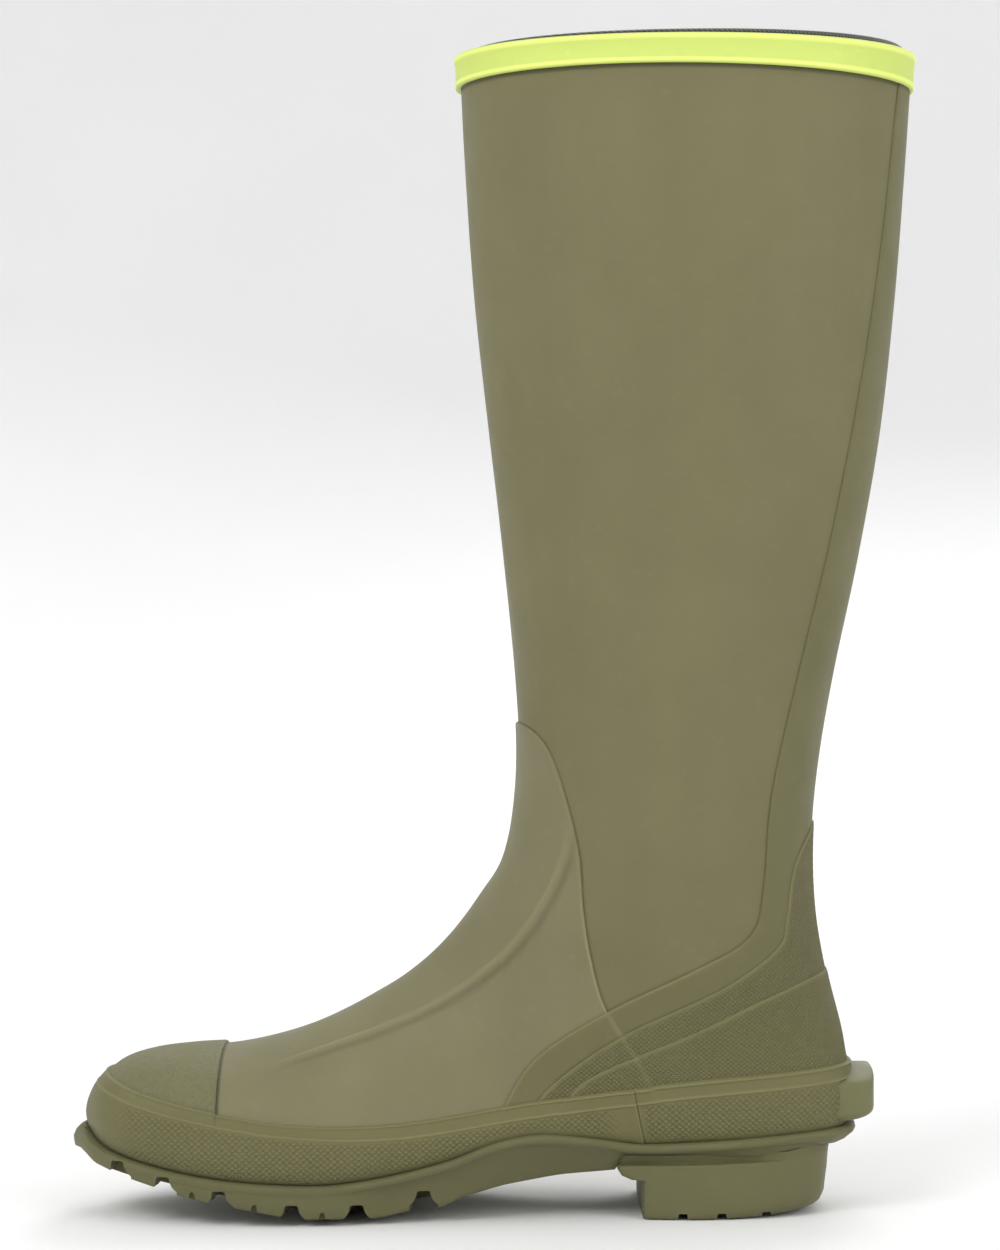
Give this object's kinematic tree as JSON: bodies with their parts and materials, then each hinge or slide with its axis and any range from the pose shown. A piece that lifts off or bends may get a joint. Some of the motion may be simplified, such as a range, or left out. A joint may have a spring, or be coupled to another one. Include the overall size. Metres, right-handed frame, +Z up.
{
  "type": "insulated rubber hunting boot",
  "caption": "Knee-high insulated rubber hunting boot, olive with a lime top band, overlaid vamp and heel counter, cleated sole with raised heel, and a lift-out footbed.",
  "frame": {"origin": "on the ground under the middle of the boot's bounding box", "axes": "+Z up the leg, -X towards the toe, -Y towards the arch side"},
  "size_m": [0.333, 0.1198, 0.4592],
  "materials": {
    "olive_rubber": "smooth matte olive rubber with a soft sheen",
    "vamp_rubber": "smooth matte olive rubber",
    "toe_cap_rubber": "finely stippled olive rubber",
    "strip_rubber": "smooth matte olive rubber",
    "counter_rubber": "fine diamond weave texture, darker olive rubber",
    "foxing_rubber": "olive rubber, smooth stripe over a diamond crosshatch",
    "lime_rubber": "smooth bright yellow-green rubber",
    "kick_lug_rubber": "smooth olive rubber",
    "sole_rubber": "moulded matte olive rubber",
    "filler_cork": "granulated cork",
    "steel": "ribbed spring steel strip",
    "fibreboard": "pressed fibre insole board",
    "insulation_foam": "closed-cell foam insulation sheet",
    "lining_fabric": "dark brushed knit lining",
    "tape_fabric": "woven seam tape",
    "rubberised_canvas": "rubber-coated canvas",
    "footbed_foam": "moulded closed-cell foam"
  },
  "bodies": {
    "boot": {"shaft_rubber": "olive_rubber", "vamp": "vamp_rubber", "toe_cap": "toe_cap_rubber", "back_strip": "strip_rubber", "heel_counter_upper": "counter_rubber", "heel_counter_lower": "counter_rubber", "toe_foxing": "foxing_rubber", "heel_foxing": "foxing_rubber", "top_band": "lime_rubber", "kick_lug": "kick_lug_rubber", "outsole": "sole_rubber", "heel_block": "sole_rubber", "heel_core": "filler_cork", "steel_shank": "steel", "forefoot_filler": "filler_cork", "lasting_board": "fibreboard", "insulation": "insulation_foam", "lining": "lining_fabric", "lining_seam_tape": "tape_fabric", "ankle_reinforcement": "rubberised_canvas", "heel_stiffener": "rubberised_canvas", "toe_puff": "rubberised_canvas"},
    "footbed": {"footbed_foam": "footbed_foam", "footbed_cover": "lining_fabric"}
  },
  "joints": [
    {"name": "footbed_lift", "type": "hinge", "parent": "boot", "child": "footbed", "pos_m": [-0.137, 0, 0.033], "axis": [0, -1, 0], "range_deg": [0, 2.4]}
  ]
}
